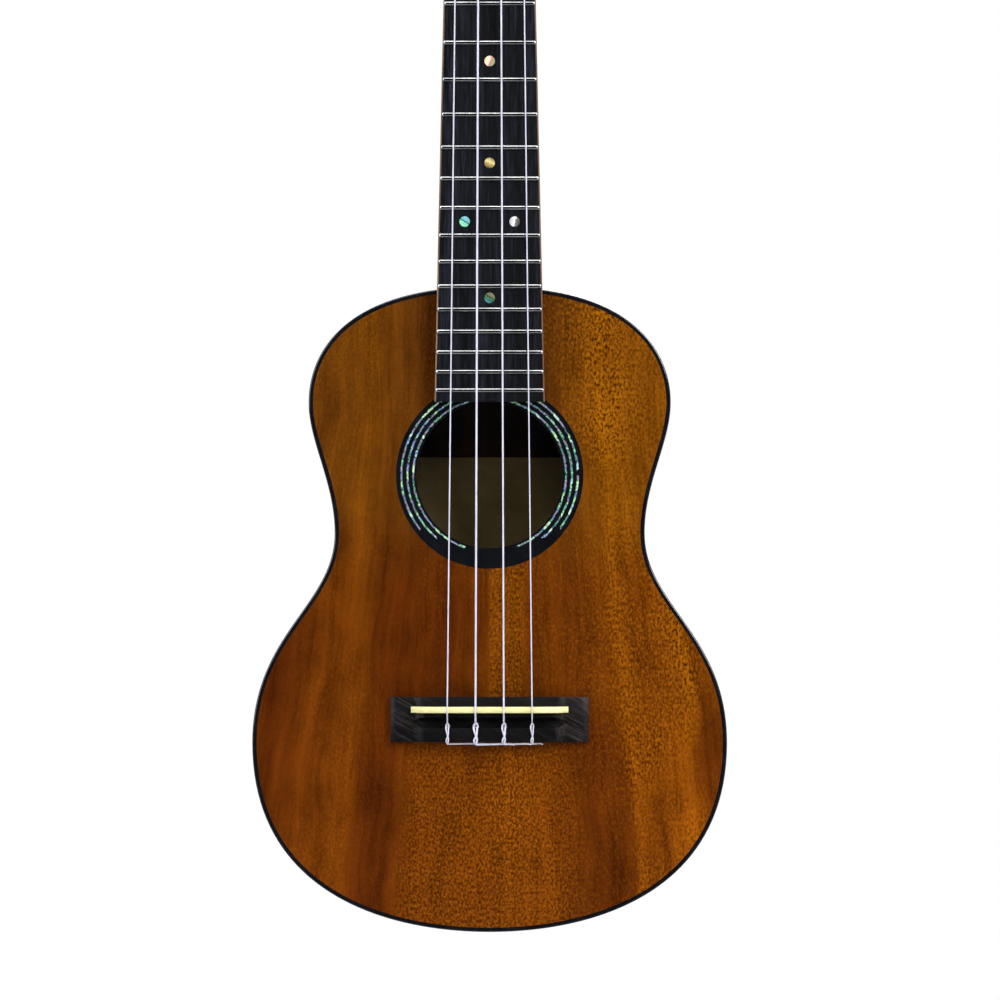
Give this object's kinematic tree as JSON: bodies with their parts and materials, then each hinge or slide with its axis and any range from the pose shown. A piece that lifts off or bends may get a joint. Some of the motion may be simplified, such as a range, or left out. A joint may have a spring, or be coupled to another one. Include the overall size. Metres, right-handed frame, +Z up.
{
  "type": "ukulele",
  "caption": "Tenor ukulele with geared tuning machines: hollow wooden body with a round soundhole, a fretted neck, and strings from a tie bridge to turning posts.",
  "frame": {"origin": "middle of the nut's front edge, in the plane shared by the neck, the soundboard and the underside of the fingerboard", "axes": "+Z up along the neck towards the headstock, -Y out of the front of the soundboard, +X towards the treble side"},
  "size_m": [0.2206, 0.0835, 0.6791],
  "materials": {
    "koa": "gloss",
    "mahogany": "satin",
    "spruce": "raw",
    "ebony": "satin",
    "binding": "gloss",
    "bone": "satin",
    "nickel": "polished",
    "pearl": "gloss",
    "nylon": "gloss"
  },
  "bodies": {
    "instrument": {"soundboard": "koa", "back_plate": "koa", "side_bass": "koa", "side_treble": "koa", "neck": "mahogany", "neck_block": "mahogany", "tail_block": "mahogany", "upper_brace": "spruce", "lower_brace": "spruce", "fan_brace_bass": "spruce", "fan_brace_centre": "spruce", "fan_brace_treble": "spruce", "bridge_patch": "spruce", "fingerboard": "ebony", "headplate": "ebony", "bridge": "ebony", "rosette": "binding", "binding_top": "binding", "binding_back": "binding", "nut": "bone", "saddle": "bone", "fret_01": "nickel", "fret_02": "nickel", "fret_03": "nickel", "fret_04": "nickel", "fret_05": "nickel", "fret_06": "nickel", "fret_07": "nickel", "fret_08": "nickel", "fret_09": "nickel", "fret_10": "nickel", "fret_11": "nickel", "fret_12": "nickel", "fret_13": "nickel", "fret_14": "nickel", "fret_15": "nickel", "fret_16": "nickel", "fret_17": "nickel", "fret_18": "nickel", "fret_19": "nickel", "string_1": "nylon", "string_2": "nylon", "string_3": "nylon", "string_4": "nylon", "tuner_1_housing": "nickel", "tuner_2_housing": "nickel", "tuner_3_housing": "nickel", "tuner_4_housing": "nickel"},
    "tuner_1_key": {"tuner_1_worm": "nickel", "tuner_1_button": "pearl"},
    "tuner_1_winder": {"tuner_1_post": "nickel"},
    "tuner_2_key": {"tuner_2_worm": "nickel", "tuner_2_button": "pearl"},
    "tuner_2_winder": {"tuner_2_post": "nickel"},
    "tuner_3_key": {"tuner_3_worm": "nickel", "tuner_3_button": "pearl"},
    "tuner_3_winder": {"tuner_3_post": "nickel"},
    "tuner_4_key": {"tuner_4_worm": "nickel", "tuner_4_button": "pearl"},
    "tuner_4_winder": {"tuner_4_post": "nickel"}
  },
  "joints": [
    {"name": "tuner_1_button_turn", "type": "hinge", "parent": "instrument", "child": "tuner_1_key", "pos_m": [-0.017, 0.02787, 0.05147], "axis": [1, 0, 0], "continuous": true},
    {"name": "tuner_1_post_turn", "type": "hinge", "parent": "instrument", "child": "tuner_1_winder", "pos_m": [-0.017, 0.0135, 0.06346], "axis": [0, 0.9744, -0.225], "continuous": true},
    {"name": "tuner_2_button_turn", "type": "hinge", "parent": "instrument", "child": "tuner_2_key", "pos_m": [-0.017, 0.03687, 0.09045], "axis": [1, 0, 0], "continuous": true},
    {"name": "tuner_2_post_turn", "type": "hinge", "parent": "instrument", "child": "tuner_2_winder", "pos_m": [-0.017, 0.0225, 0.10244], "axis": [0, 0.9744, -0.225], "continuous": true},
    {"name": "tuner_3_button_turn", "type": "hinge", "parent": "instrument", "child": "tuner_3_key", "pos_m": [0.017, 0.03687, 0.09045], "axis": [1, 0, 0], "continuous": true},
    {"name": "tuner_3_post_turn", "type": "hinge", "parent": "instrument", "child": "tuner_3_winder", "pos_m": [0.017, 0.0225, 0.10244], "axis": [0, 0.9744, -0.225], "continuous": true},
    {"name": "tuner_4_button_turn", "type": "hinge", "parent": "instrument", "child": "tuner_4_key", "pos_m": [0.017, 0.02787, 0.05147], "axis": [1, 0, 0], "continuous": true},
    {"name": "tuner_4_post_turn", "type": "hinge", "parent": "instrument", "child": "tuner_4_winder", "pos_m": [0.017, 0.0135, 0.06346], "axis": [0, 0.9744, -0.225], "continuous": true}
  ],
  "couplings": [
    {"joint": "tuner_1_post_turn", "follows": "tuner_1_button_turn", "ratio": -0.071429},
    {"joint": "tuner_2_post_turn", "follows": "tuner_2_button_turn", "ratio": -0.071429},
    {"joint": "tuner_3_post_turn", "follows": "tuner_3_button_turn", "ratio": 0.071429},
    {"joint": "tuner_4_post_turn", "follows": "tuner_4_button_turn", "ratio": 0.071429}
  ]
}
